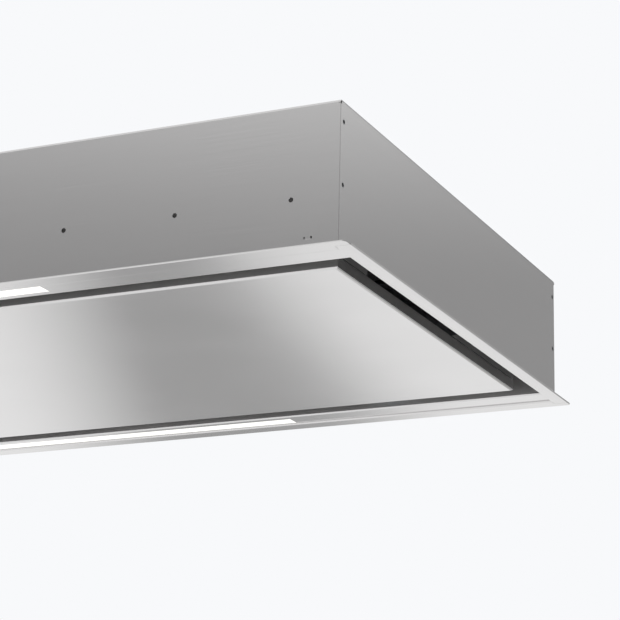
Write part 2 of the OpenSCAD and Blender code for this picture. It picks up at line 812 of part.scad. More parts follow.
// Box round the electrical parts: five folded sides, open below, with screw tabs for the lid
module control_box() {
    color(c_zinc) difference() {
        union() {
            difference() {
                block([control_x0, control_y0, lid_z], [control_x1, control_y1, control_top]);
                block([control_x0 + control_t, control_y0 + control_t, lid_z - over],
                      [control_x1 - control_t, control_y1 - control_t, ceiling_z]);
            }
            at_lid_screws() translate([0, 0, lid_z + control_t / 2])
                cube([lid_tab + over, lid_tab + over, control_t], center = true);
        }
        at_lid_screws() translate([0, 0, lid_z])
            cylinder(r = screw_r + hole_play, h = 4 * control_t, center = true);
        at_glands() translate([0, 0, ceiling_z])
            cylinder(r = gland_r + hole_play, h = 4 * control_t, center = true);
        for (y = [control_y0, control_y1])
            translate([lead_x, y, lead_z]) rod_y(lead_r + hole_play, 4 * control_t);
    }
}

module at_lid_screws() {
    for (x = [control_x0 + lid_screw_in, control_x1 - lid_screw_in])
        for (y = [control_y0 + lid_screw_in, control_y1 - lid_screw_in]) translate([x, y, 0]) children();
}

module control_box_lid() {
    color(c_zinc) difference() {
        block([control_x0, control_y0, lid_z - control_t], [control_x1, control_y1, lid_z]);
        at_lid_screws() translate([0, 0, lid_z])
            cylinder(r = screw_r + hole_play, h = 4 * control_t, center = true);
    }
}

module lid_screws() {
    color(c_zinc) at_lid_screws() translate([0, 0, lid_z - control_t]) mirror([0, 0, 1])
        difference() {
            screw(3 * control_t);
            translate([0, 0, head_h / 3]) cylinder(r = 2 * head_r, h = head_h);
        }
}

// Potted driver with a round-edged case and two fixing lugs, hung under the ceiling of the box
module led_driver() {
    lug_l = 2 * screw_r + control_t;
    color(c_opal) translate([driver_x, driver_y, ceiling_z - case_h]) {
        linear_extrude(case_h) round_rect(case_w, case_l, 2 * control_t);
        translate([0, 0, case_h - 2 * control_t]) linear_extrude(2 * control_t)
            square([case_w / 3, case_l + 2 * lug_l], center = true);
    }
}

// Receiver board on four standoffs, with its relay
module receiver_board() {
    board_z = ceiling_z - standoff_h;
    color(c_green) translate([unit_x, driver_y, board_z]) {
        translate([0, 0, -board_t / 2]) cube([receiver_w, receiver_l, board_t], center = true);
        for (x = [-1, 1], y = [-1, 1])
            translate([x * (receiver_w / 2 - 2 * screw_r), y * (receiver_l / 2 - 2 * screw_r), 0])
                cylinder(r = screw_r, h = standoff_h);
        translate([0, 0, -board_t - standoff_h / 2])
            cube([receiver_w / 3, receiver_l / 2, standoff_h], center = true);
    }
}

// Terminal block with four wire mouths
module terminal_block() {
    block_l = receiver_w;
    block_d = receiver_l / 3;
    y0 = control_y0 + control_t + lead_r;
    color(c_opal) difference() {
        translate([unit_x, y0 + block_d / 2, ceiling_z - block_d / 2])
            cube([block_l, block_d, block_d], center = true);
        for (x = spread(4, block_l / 4))
            translate([unit_x + x, y0 + block_d, ceiling_z - block_d / 2]) rod_y(lead_r * 4 / 5, block_d);
    }
}

// The two cable glands, side by side
module at_glands() {
    for (i = [0, 1]) translate([gland_x - i * gland_pitch, gland_y, 0]) children();
}

module gland_bodies() {
    color(c_plastic) at_glands() translate([0, 0, box_h]) difference() {
        union() {
            cylinder(r = gland_hex_r, h = gland_hex_h, $fn = 6);
            translate([0, 0, -sheet_t - control_t - locknut_h - over])
                cylinder(r = gland_r, h = gland_h * 2 / 3 + sheet_t + control_t + locknut_h + over);
        }
        translate([0, 0, -gland_h]) cylinder(r = seal_r, h = 3 * gland_h);
    }
}

module gland_locknuts() {
    color(c_plastic) at_glands() translate([0, 0, ceiling_z - locknut_h]) difference() {
        cylinder(r = gland_hex_r, h = locknut_h, $fn = 6);
        translate([0, 0, -over]) cylinder(r = gland_r + hole_play, h = locknut_h + 2 * over);
    }
}

// Domed caps that squeeze the seals
module gland_caps() {
    cap_z = box_h + gland_hex_h;
    wall_h = gland_h * 2 / 3 - gland_hex_h;
    color(c_plastic) at_glands() translate([0, 0, cap_z]) rotate_extrude() difference() {
        union() {
            square([gland_hex_r, wall_h]);
            translate([0, wall_h]) intersection() {
                square(gland_hex_r);
                cap_dome(gland_h / 3);
            }
        }
        translate([0, -over]) square([gland_r + hole_play, wall_h + over]);
        translate([0, -over]) square([seal_r + hole_play, gland_h]);
    }
}

// Quarter dome drawing of a gland cap, as high as h
module cap_dome(h) {
    square([gland_hex_r - h, h]);
    translate([gland_hex_r - h, 0]) circle(h);
}

module gland_seals() {
    seal_l = gland_h * 2 / 3;
    color(c_rubber) at_glands() translate([0, 0, box_h + gland_h - seal_l]) difference() {
        cylinder(r = seal_r - hole_play, h = seal_l);
        translate([0, 0, -over]) cylinder(r = cable_r, h = seal_l + 2 * over);
    }
}

// Collar turned from one profile: spigot, base ring and the stop ring for the flaps
module duct_collar() {
    stop_top = spindle_h - flap_t / 2 - stop_gap;
    color(c_zinc) translate([0, 0, duct_z]) difference() {
        rotate_extrude() {
            translate([duct_in, 0]) square([duct_t, duct_h]);
            translate([duct_in, 0]) square([duct_t + base_w, base_t]);
            translate([duct_in - stop_w, stop_top - stop_t]) square([stop_w + duct_t / 2, stop_t]);
            translate([duct_in, duct_h - duct_t]) circle(duct_t / 2);
        }
        translate([0, 0, spindle_h]) rod_y(spindle_r + knuckle_play, 2 * duct_r + 2 * over);
        translate([0, 0, -duct_z]) at_collar_screws() translate([0, 0, duct_z])
            cylinder(r = screw_r + hole_play, h = 4 * base_t, center = true);
    }
}

module at_collar_screws() {
    for (i = [0 : collar_screws_n - 1])
        rotate(i * 4 * right_angle / collar_screws_n) translate([collar_screw_r, 0, 0]) children();
}

module collar_gasket() {
    color(c_rubber) difference() {
        translate([0, 0, box_h]) cylinder(r = duct_r + base_w - duct_t, h = gasket_t);
        cylinder(r = duct_in, h = 2 * box_h);
        at_collar_screws() cylinder(r = screw_r + hole_play, h = 2 * box_h);
    }
}

module collar_screws() {
    color(c_zinc) at_collar_screws()
        translate([0, 0, duct_z + base_t]) screw(base_t + gasket_t + 3 * sheet_t);
}

module damper_spindle() {
    color(c_zinc) translate([0, 0, spindle_z]) rod_y(spindle_r, 2 * duct_r - duct_t);
}

// Half-round flap on the +X side, with two knuckles on the spindle. Its partner is the same piece
// turned half round.
module damper_flap() {
    color(c_zinc) translate([0, 0, spindle_z]) difference() {
        union() {
            intersection() {
                cylinder(r = flap_r, h = flap_t, center = true);
                block([flap_inner, -flap_r, -flap_t], [flap_r, flap_r, flap_t]);
            }
            for (y = [-2 * flap_knuckle_l, flap_knuckle_l]) translate([0, y, 0]) {
                rod_y(flap_knuckle_r, flap_knuckle_l - stop_gap);
                translate([flap_inner / 2 + flap_t / 2, 0, 0])
                    cube([flap_inner + flap_t, flap_knuckle_l - stop_gap, flap_t], center = true);
            }
        }
        rod_y(spindle_r + knuckle_play, 2 * flap_r);
    }
}

module damper_flap_right() { damper_flap(); }
module damper_flap_left() { rotate(2 * right_angle) damper_flap(); }

// Screw places in the fixed hinge leaves
module at_hinge_screws() {
    both_ends() for (s = [-1, 1])
        translate([hinge_x + s * hinge_screw_x, panel_hd, hinge_z + leaf_h * 2 / 3]) children();
}

// One knuckle of the right hinge, from x0 to x1 along the pin
module knuckle(x0, x1) {
    translate([(x0 + x1) / 2, hinge_y, hinge_z]) rod_x(knuckle_r, x1 - x0);
}

// Fixed leaves on the rear skirt, each with a knuckle at both ends
module hinge_leaves_fixed() {
    a = hinge_x - hinge_l / 2;
    b = hinge_x + hinge_l / 2;
    color(c_zinc) difference() {
        both_ends() for (ends = [[a, a + knuckle_l], [b - knuckle_l, b]]) {
            knuckle(ends[0], ends[1]);
            block([ends[0], panel_hd, hinge_z], [ends[1], panel_hd + leaf_t, hinge_z + leaf_h / 3]);
        }
        both_ends() translate([hinge_x, hinge_y, hinge_z])
            rod_x(pin_r + hinge_play / 2, hinge_l + 2 * over);
    }
    color(c_zinc) difference() {
        both_ends()
            block([a, panel_hd, hinge_z + knuckle_r + hinge_gap], [b, panel_hd + leaf_t, hinge_z + leaf_h]);
        at_hinge_screws() rod_y(screw_r + hole_play, 4 * leaf_t);
    }
}

// Moving leaves on the panel's rear rim, each with one knuckle between the fixed ones
module hinge_leaves_moving() {
    a = hinge_x - hinge_l / 2 + knuckle_l + hinge_gap;
    b = hinge_x + hinge_l / 2 - knuckle_l - hinge_gap;
    color(c_zinc) difference() {
        both_ends() {
            knuckle(a, b);
            block([a, panel_hd, panel_r + hinge_gap], [b, panel_hd + leaf_t, hinge_z]);
        }
        both_ends() translate([hinge_x, hinge_y, hinge_z]) rod_x(pin_r + hinge_play, hinge_l + 2 * over);
    }
}

module hinge_pins() {
    color(c_zinc) both_ends() translate([hinge_x, hinge_y, hinge_z]) union() {
        rod_x(pin_r, hinge_l);
        translate([hinge_l / 2 + leaf_t / 2, 0, 0]) rod_x(pin_r * 3 / 2, leaf_t);
    }
}

module hinge_screws() {
    color(c_zinc) at_hinge_screws()
        translate([0, leaf_t, 0]) rotate([-right_angle, 0, 0]) screw(leaf_t + 2 * sheet_t);
}

// Housings of the magnet catches, on the inside of the front skirt
module catch_housings() {
    color(c_plastic) both_ends() difference() {
        translate([catch_x - catch_l / 2, -catch_out, catch_z]) cube([catch_l, catch_d, catch_h]);
        translate([catch_x - magnet_l / 2, sheet_t - catch_out, catch_z - over])
            cube([magnet_l, catch_d - 2 * sheet_t, catch_h / 2 + over]);
    }
}

// Magnets, seated in the mouths of the housings
module catch_magnets() {
    color(c_inner) both_ends()
        translate([catch_x - magnet_l / 2 + hole_play, sheet_t + hole_play - catch_out, catch_z])
            cube([magnet_l - 2 * hole_play, catch_d - 2 * sheet_t - 2 * hole_play, catch_h / 2]);
}

// Flat pan: a face, a rim turned up round bends on all four sides and a lip turned in on top
module suction_panel() {
    color(c_steel) difference() {
        pan(panel_hl, panel_hd, rim_h, 0, panel_r);
        pan(panel_hl - panel_t, panel_hd - panel_t, rim_h - lip_t, panel_t, panel_r - panel_t);
        block([lip_w - panel_hl, lip_w - panel_hd, rim_h / 2],
              [panel_hl - lip_w, panel_hd - lip_w, rim_h + over]);
    }
}

// Solid of a pan's outline, with its lower edges rounded along both directions
module pan(l, d, top, bottom, r) {
    intersection() {
        along_x(2 * l) pan_section(d, top, bottom, r);
        along_y(2 * d) pan_section(l, top, bottom, r);
    }
}

module pan_section(half, top, bottom, r) {
    translate([-half, bottom + r]) square([2 * half, top - bottom - r]);
    translate([r - half, bottom]) square([2 * (half - r), r]);
    for (s = [-1, 1]) translate([s * (half - r), bottom + r]) circle(r);
}

// Hat-section ribs across the inside of the panel
module panel_stiffeners() {
    low = panel_t + frame_t / 2;
    high = panel_t + stiffener_h - frame_t / 2;
    half = crown_w / 2 - frame_t / 2;
    color(c_inner) both_ends() translate([filter_pitch, 0, 0]) along_y(2 * (panel_hd - panel_r))
        folded([
            [-half - foot_w, low], [-half, low], [-half, high],
            [half, high], [half, low], [half + foot_w, low]
        ], frame_t, bend_r);
}

// Steel plates on the panel's front lip, under the magnets
module strike_plates() {
    color(c_zinc) both_ends() translate([catch_x - catch_l / 2, panel_t + 2 * hinge_gap - panel_hd, rim_h])
        cube([catch_l, catch_d, strike_t]);
}

// Filter frame: channel on all four sides, with two ears for the bail, and tabs on the ears
// that stop the bail where it hangs
module filter_frame(i) {
    color(c_filter) translate([i * filter_pitch, 0, 0]) {
        difference() {
            translate([0, 0, deck_top + filter_h / 2]) cube([filter_l, filter_d, filter_h], center = true);
            translate([0, 0, deck_top + filter_h / 2])
                cube([filter_l - 2 * frame_w, filter_d - 2 * frame_w, 2 * filter_h], center = true);
            translate([0, 0, deck_top + filter_h / 2])
                cube([filter_l - 2 * frame_t, filter_d - 2 * frame_t, filter_h - 2 * frame_t], center = true);
        }
        for (s = [-1, 1]) translate([s * ear_x, bail_y, 0]) rotate([right_angle, 0, right_angle])
            linear_extrude(ear_t, center = true) difference() {
                union() {
                    translate([0, bail_z]) circle(ear_r);
                    translate([-ear_r, bail_z]) square([2 * ear_r, deck_top - bail_z + frame_t / 2]);
                }
                translate([0, bail_z]) circle(bail_r + hole_play);
            }
        stop_y = bail_y - bail_r - hole_play;
        for (s = [0, 1]) mirror([s, 0, 0])
            block([bail_hw - bail_r, stop_y - ear_t, bail_z - ear_r],
                  [ear_x, stop_y, bail_z - bail_r - hole_play]);
    }
}

module filter_frame_left() { filter_frame(-1); }
module filter_frame_middle() { filter_frame(0); }
module filter_frame_right() { filter_frame(1); }

// Baffle blade on edge: a trough with turned edges, open upward, its base at height zero
module blade_section() {
    half = blade_w / 2 - frame_t / 2;
    folded([
        [-half, blade_h], [-half, frame_t / 2], [half, frame_t / 2], [half, blade_h]
    ], frame_t, frame_t / 2);
}

// Lower troughs and, half a pitch on, upper ones turned over them, so that the air turns twice
module filter_baffles(i) {
    blade_l = filter_d - 2 * frame_t - 2 * hole_play;
    n = floor((filter_l - 2 * frame_t - blade_w) / blade_pitch) + 1;
    color(c_filter) translate([i * filter_pitch, 0, 0]) {
        for (x = spread(n, blade_pitch))
            translate([x, 0, deck_top + frame_t]) along_y(blade_l) blade_section();
        for (x = spread(n - 1, blade_pitch)) translate([x, 0, filter_top - frame_t])
            mirror([0, 0, 1]) along_y(blade_l) blade_section();
    }
}

module filter_baffles_left() { filter_baffles(-1); }
module filter_baffles_middle() { filter_baffles(0); }
module filter_baffles_right() { filter_baffles(1); }

// Wire bail that hangs from the ears of a filter
module filter_bail(i) {
    end_x = ear_x + ear_t / 2 + frame_t;
    color(c_zinc) translate([i * filter_pitch, bail_y, bail_z]) union() {
        for (s = [-1, 1]) {
            translate([s * (bail_hw + end_x) / 2, 0, 0]) rod_x(bail_r, end_x - bail_hw);
            translate([s * bail_hw, 0, -bail_drop]) cylinder(r = bail_r, h = bail_drop);
            translate([s * bail_hw, 0, -bail_drop]) sphere(bail_r);
            translate([s * bail_hw, 0, 0]) sphere(bail_r);
        }
        translate([0, 0, -bail_drop]) rod_x(bail_r, 2 * bail_hw);
    }
}

module filter_bail_left() { filter_bail(-1); }
module filter_bail_middle() { filter_bail(0); }
module filter_bail_right() { filter_bail(1); }

// Everything stands on the underside of the flange
translate([0, 0, flange_t]) {
    main_shell();
    end_plate_left();
    end_plate_right();
    end_plate_rivets();
    hanger_bracket_front_left();
    hanger_bracket_front_right();
    hanger_bracket_rear_left();
    hanger_bracket_rear_right();
    bracket_screws();
    light_bar_front();
    light_bar_rear();
    light_bar_end_caps();
    light_bar_screws();
    diffuser_front();
    diffuser_rear();
    led_board_front();
    led_board_rear();
    led_lead_front();
    led_lead_rear();
    led_connectors();
    lead_clips();
    filter_deck();
    control_box();
    control_box_lid();
    lid_screws();
    led_driver();
    receiver_board();
    terminal_block();
    gland_bodies();
    gland_locknuts();
    gland_caps();
    gland_seals();
    duct_collar();
    collar_gasket();
    collar_screws();
    damper_spindle();
    damper_flap_left();
    damper_flap_right();
    hinge_leaves_fixed();
    hinge_pins();
    hinge_screws();
    catch_housings();
    catch_magnets();
    suction_panel();
    panel_stiffeners();
    hinge_leaves_moving();
    strike_plates();
    filter_frame_left();
    filter_frame_middle();
    filter_frame_right();
    filter_baffles_left();
    filter_baffles_middle();
    filter_baffles_right();
    filter_bail_left();
    filter_bail_middle();
    filter_bail_right();
}
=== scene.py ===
"""Ceiling range hood: finishes, small parts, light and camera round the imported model."""

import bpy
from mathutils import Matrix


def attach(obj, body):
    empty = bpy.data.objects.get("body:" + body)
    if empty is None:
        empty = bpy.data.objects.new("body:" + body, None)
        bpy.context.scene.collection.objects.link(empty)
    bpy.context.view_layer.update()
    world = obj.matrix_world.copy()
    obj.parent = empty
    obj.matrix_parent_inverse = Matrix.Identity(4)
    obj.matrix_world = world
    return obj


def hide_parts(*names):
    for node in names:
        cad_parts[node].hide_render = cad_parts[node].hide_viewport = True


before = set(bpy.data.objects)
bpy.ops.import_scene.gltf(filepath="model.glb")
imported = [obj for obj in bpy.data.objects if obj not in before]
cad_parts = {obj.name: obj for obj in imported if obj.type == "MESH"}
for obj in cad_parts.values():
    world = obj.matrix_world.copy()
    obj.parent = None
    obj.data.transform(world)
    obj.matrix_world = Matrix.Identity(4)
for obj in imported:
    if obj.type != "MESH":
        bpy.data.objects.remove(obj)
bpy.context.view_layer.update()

import bpy
import numpy as np
from mathutils import Matrix

bl_info = {
    "name": "Ceiling hood dressing",
    "version": (1, 0, 0),
    "blender": (4, 5, 0),
    "location": "View3D > Sidebar > Hood",
    "description": "Finishes and small parts of a ceiling range hood, with its stage",
    "category": "Object",
}

MM = 0.001
ROOT = "hood"
FILTER_SIDES = ("left", "middle", "right")

# Rings of a screw's head from the middle of its top outward, as shares of its radius and height. The
# cross recess is cut into the first ones.
HEAD_RADII = (0, 0.1, 0.2, 0.3, 0.4, 0.5, 0.58, 0.64, 0.72, 0.84, 0.94, 1.0, 1.0, 1.0)
HEAD_HEIGHTS = (0, 0, 0, 0.01, 0.02, 0.03, 0.05, 0.07, 0.11, 0.2, 0.36, 0.56, 0.8, 1.0)
RECESS_RINGS = 9
# Half width of a recess arm, width of its sloping side and its reach, as shares of the head's radius
ARM_HALF, ARM_SIDE, ARM_REACH = 0.16, 0.07, 0.61
# Depth of the recess as a share of the head's height, and how it shallows away from the middle
RECESS_DEPTH, RECESS_TAPER = 0.62, 1.15
# Pitch and depth of the ridge and the narrow end, as shares of the shank's radius
RIDGE_PITCH, RIDGE_DEPTH, SHANK_END = 0.55, 0.16, 0.8

# Added roughness of folded sheet that the grinding belt doesn't reach
FOLD_DULLNESS = 0.28
BACKDROP = "F8F9FB"


# Numbers and meshes

def linear(hexcode):
    """Linear RGBA of an sRGB hex colour such as B9BABB."""
    srgb = np.array([int(hexcode[i:i + 2], 16) for i in (0, 2, 4)]) / 255
    low = srgb / 12.92
    high = ((srgb + 0.055) / 1.055) ** 2.4
    return (*np.where(srgb <= 0.04045, low, high), 1.0)


def toned(hexcode, share):
    """Linear RGBA of an sRGB hex colour, made darker or lighter by a share and kept below white."""
    return (*np.minimum(np.array(linear(hexcode)[:3]) * share, 1), 1.0)


def grid_faces(rows, columns, around=False, closed=False):
    """Quads of a grid of points, rows by columns: around joins the last column to the first,
    closed joins the last row to the first."""
    r = np.arange(rows if closed else rows - 1)
    c = np.arange(columns if around else columns - 1)
    r, c = (a.ravel() for a in np.meshgrid(r, c, indexing="ij"))
    r2, c2 = (r + 1) % rows, (c + 1) % columns
    return np.stack([r * columns + c, r * columns + c2, r2 * columns + c2, r2 * columns + c], 1)


def piece(name, parts, material, body=ROOT, replaces=(), smooth=True):
    """One object from (points, faces) parts, which rides on a body and may stand for CAD nodes."""
    points, faces, start = [], [], 0
    for co, quads in parts:
        points.append(np.asarray(co, float).reshape(-1, 3))
        faces += [[int(v) + start for v in f] for f in quads]
        start += len(points[-1])
    mesh = bpy.data.meshes.new(name)
    mesh.from_pydata(np.concatenate(points).tolist(), [], faces)
    mesh.polygons.foreach_set("use_smooth", [smooth] * len(mesh.polygons))
    mesh.validate()
    mesh.update()
    obj = bpy.data.objects.new(name, mesh)
    bpy.context.scene.collection.objects.link(obj)
    obj.data.materials.append(material)
    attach(obj, body)
    if replaces:
        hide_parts(*replaces)
    return obj


def turned(profile, axis_point, direction, sides):
    """Surface of revolution: a profile of (radius, height) pairs carried round an axis that starts
    at axis_point and points along direction. Radius zero closes it."""
    radius, height = np.array(profile, float).T
    angle = np.linspace(0, 2 * np.pi, sides, endpoint=False)
    d = np.array(direction, float) / np.linalg.norm(direction)
    side = np.cross(d, [0.0, 0.0, 1.0]) if abs(d[2]) < 0.9 else np.array([1.0, 0.0, 0.0])
    side = side / np.linalg.norm(side)
    up = np.cross(d, side)
    ring = np.cos(angle)[:, None] * side + np.sin(angle)[:, None] * up
    co = np.array(axis_point) + radius[:, None, None] * ring + height[:, None, None] * d
    return co.reshape(-1, 3), grid_faces(len(radius), sides, around=True)


def tube(path, radius, sides=16):
    """Round wire: circles carried along a path of points, turned with it without twist, with
    domed ends."""
    path = np.asarray(path, float)
    tangent = np.gradient(path, axis=0)
    tangent /= np.linalg.norm(tangent, axis=1)[:, None]
    askew = [0.3, 0.5, 0.8]
    side = np.cross(tangent[0], askew)
    frames = []
    for t in tangent:
        side = side - t * side.dot(t)
        side = side / np.linalg.norm(side)
        frames.append((side, np.cross(t, side)))
    u, v = (np.array([f[i] for f in frames]) for i in (0, 1))
    angle = np.linspace(0, 2 * np.pi, sides, endpoint=False)
    # The rings of a dome at 0, 30 and 60 degrees: radius and setback
    cap = np.array([0.0, 0.5, 0.87])
    back = np.array([1.0, 0.87, 0.5])
    radii = np.concatenate([cap, np.ones(len(path) - 2), cap[::-1]]) * radius
    inset = np.concatenate([-back * radius, np.zeros(len(path) - 2), back[::-1] * radius])
    index = np.concatenate([[0, 0, 0], np.arange(1, len(path) - 1), [len(path) - 1] * 3])
    along = path[index] + inset[:, None] * tangent[index]
    ring = (np.cos(angle)[None, :, None] * u[index][:, None, :]
            + np.sin(angle)[None, :, None] * v[index][:, None, :])
    co = along[:, None, :] + radii[:, None, None] * ring
    return co.reshape(-1, 3), grid_faces(len(index), sides, around=True)


def solids_of(name):
    """Low and high corners of the separate solids in a CAD node: labels spread along its edges
    until they settle, and each label's points give one box."""
    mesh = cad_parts[name].data
    co = np.empty(3 * len(mesh.vertices))
    mesh.vertices.foreach_get("co", co)
    edges = np.empty(2 * len(mesh.edges), int)
    mesh.edges.foreach_get("vertices", edges)
    co = co.reshape(-1, 3)
    _, same = np.unique(np.round(co, 6), axis=0, return_inverse=True)
    same = same.ravel()
    a, b = same[edges.reshape(-1, 2)].T
    label = np.arange(same.max() + 1)
    while True:
        before = label.copy()
        low = np.minimum(label[a], label[b])
        np.minimum.at(label, a, low)
        np.minimum.at(label, b, low)
        label = label[label]
        if np.array_equal(before, label):
            break
    label = label[same]
    return [(co[label == k].min(0), co[label == k].max(0)) for k in np.unique(label)]


def pan_head_screw(top, direction, head_r, head_h, shank_r, length, sides=32):
    """Pan-head screw whose axis starts at the middle of the head's top and runs along direction.
    Rings go out over the domed head, down its side, in under it and along the shank to a
    chamfered end. The height of a ring's point on the head drops by the cross recess where the
    point lies within half an arm of either axis, and the shank's radius follows a helix:
    shank + ridge x |2 frac(z / pitch - angle / turn) - 1|."""
    pitch = shank_r * RIDGE_PITCH
    steps = np.arange(head_h + pitch / 3, length - pitch, pitch / 3)
    r = np.concatenate([head_r * np.array(HEAD_RADII), [shank_r], np.full(len(steps), shank_r),
                        [shank_r * SHANK_END, 0.0]])
    z = np.concatenate([head_h * np.array(HEAD_HEIGHTS), [head_h], steps, [length, length]])
    order = np.arange(len(r))[:, None]
    angle = np.linspace(0, 2 * np.pi, sides, endpoint=False)
    grid_r = np.repeat(r[:, None], sides, 1)
    grid_z = np.repeat(z[:, None], sides, 1)
    arm = np.minimum(np.abs(np.sin(angle)), np.abs(np.cos(angle)))[None, :] * grid_r
    in_recess = (np.clip((ARM_HALF * head_r - arm) / (ARM_SIDE * head_r), 0, 1)
                 * (grid_r < ARM_REACH * head_r))
    on_top = order < RECESS_RINGS
    grid_z = grid_z + on_top * in_recess * RECESS_DEPTH * head_h * (RECESS_TAPER - grid_r / head_r)
    on_shank = (order > len(HEAD_RADII)) & (order < len(r) - 2)
    ridge = np.abs(2 * np.mod(grid_z / pitch - angle[None, :] / (2 * np.pi), 1.0) - 1)
    grid_r = grid_r - on_shank * (1 - ridge) * RIDGE_DEPTH * shank_r
    d = np.array(direction, float) / np.linalg.norm(direction)
    side = np.array([1.0, 0.0, 0.0]) if abs(d[0]) < 0.9 else np.array([0.0, 1.0, 0.0])
    up = np.cross(d, side)
    ring = np.cos(angle)[:, None] * side + np.sin(angle)[:, None] * up
    co = np.array(top) + grid_r[:, :, None] * ring[None] + grid_z[:, :, None] * d
    return co.reshape(-1, 3), grid_faces(len(r), sides, around=True)


def rounded_path(corners, radius, steps=8):
    """Points of a bent wire: straight runs between corners, with each corner cut back by radius
    and replaced by the curve (1-t)^2 a + 2t(1-t) corner + t^2 b."""
    corners = np.asarray(corners, float)
    t = np.linspace(0, 1, steps)[:, None]
    path = [corners[:1]]
    for before, here, after in zip(corners[:-2], corners[1:-1], corners[2:]):
        a = here + (before - here) / np.linalg.norm(before - here) * radius
        b = here + (after - here) / np.linalg.norm(after - here) * radius
        path.append((1 - t) ** 2 * a + 2 * t * (1 - t) * here + t ** 2 * b)
    path.append(corners[-1:])
    return np.concatenate(path)


def ribbed_cap(profile, centre, ribs, depth, ribbed, sides=96):
    """Turned cap with a grip: the radius of the rings between the places of ribbed is
    profile - depth x (1/2 - 1/2 cos(ribs x angle)) ^ 3, and the other rings stay round."""
    radius, height = np.array(profile, float).T
    angle = np.linspace(0, 2 * np.pi, sides, endpoint=False)
    outside = radius >= radius.max() * 0.99
    gripped = ((height >= ribbed[0]) & (height <= ribbed[1]) & outside)[:, None]
    r = radius[:, None] - gripped * depth * (0.5 - 0.5 * np.cos(ribs * angle))[None, :] ** 3
    co = np.stack([r * np.cos(angle), r * np.sin(angle), np.repeat(height[:, None], sides, 1)], -1)
    faces = grid_faces(len(radius), sides, around=True, closed=True)
    return (co + np.array(centre)).reshape(-1, 3), faces


# Materials

def add(tree, kind, settings=None, inputs=None, links=None):
    """A node of a kind in a tree, with its settings, its sockets' constants and its links."""
    made = tree.nodes.new(kind)
    for key, value in (settings or {}).items():
        setattr(made, key, value)
    for key, value in (inputs or {}).items():
        made.inputs[key].default_value = value
    for key, source in (links or {}).items():
        tree.links.new(source, made.inputs[key])
    return made


def ramp(tree, factor, low, high):
    """Colour ramp between two (place, colour) stops, fed by a factor."""
    made = add(tree, "ShaderNodeValToRGB", links={"Fac": factor})
    for element, (place, colour) in zip(made.color_ramp.elements, (low, high)):
        element.position = place
        element.color = colour
    return made


def blank(name):
    """A new node material with its Principled shader, and that shader."""
    material = bpy.data.materials.new(name)
    material.use_nodes = True
    return material, material.node_tree, material.node_tree.nodes["Principled BSDF"]


def brushed_sheet(name, hexcode, rough, along="X", groove_mm=0.7, stroke_mm=140, depth=0.012,
                  spread=0.055, bright=0.93, dull_mm=None):
    """Stainless or coated sheet, drawn under an abrasive belt: long fine strokes along one
    direction, over faint broad clouds from rolling. The share that isn't bright is the light which
    the scratches scatter. The belt doesn't reach folded parts, so from the first height of dull_mm
    to the second the sheet grows duller."""
    material, tree, shader = blank(name)
    place = add(tree, "ShaderNodeTexCoord").outputs["Object"]
    fine, long = 1 / (groove_mm * MM), 1 / (stroke_mm * MM)
    scale = {"X": (long, fine, fine), "Y": (fine, long, fine)}[along]
    stretched = add(tree, "ShaderNodeMapping", inputs={"Scale": scale}, links={"Vector": place})
    strokes = add(tree, "ShaderNodeTexNoise", inputs={"Scale": 1.0, "Detail": 3.0, "Roughness": 0.6},
                  links={"Vector": stretched.outputs[0]})
    clouds = add(tree, "ShaderNodeTexNoise", inputs={"Scale": 9.0, "Detail": 2.0},
                 links={"Vector": place})
    tone = add(tree, "ShaderNodeMix", {"data_type": "RGBA", "blend_type": "MIX"},
               links={"Factor": strokes.outputs["Fac"]})
    tone.inputs["A"].default_value = toned(hexcode, 1 - spread)
    tone.inputs["B"].default_value = toned(hexcode, 1 + spread)
    gloss = add(tree, "ShaderNodeMath", {"operation": "MULTIPLY_ADD"}, {1: 0.06, 2: rough - 0.03},
                {0: clouds.outputs["Fac"]})
    if dull_mm:
        height = add(tree, "ShaderNodeSeparateXYZ", links={0: place})
        folded = add(tree, "ShaderNodeMapRange", {"interpolation_type": "SMOOTHSTEP"},
                     {"From Min": dull_mm[0] * MM, "From Max": dull_mm[1] * MM, "To Max": FOLD_DULLNESS},
                     {"Value": height.outputs["Z"]})
        gloss = add(tree, "ShaderNodeMath", {"operation": "ADD"},
                    links={0: gloss.outputs[0], 1: folded.outputs[0]})
    tree.links.new(tone.outputs["Result"], shader.inputs["Base Color"])
    tree.links.new(gloss.outputs[0], shader.inputs["Roughness"])
    bump = add(tree, "ShaderNodeBump", inputs={"Strength": depth, "Distance": 0.0004},
               links={"Height": strokes.outputs["Fac"]})
    tree.links.new(bump.outputs[0], shader.inputs["Normal"])
    shader.inputs["Metallic"].default_value = bright
    return material


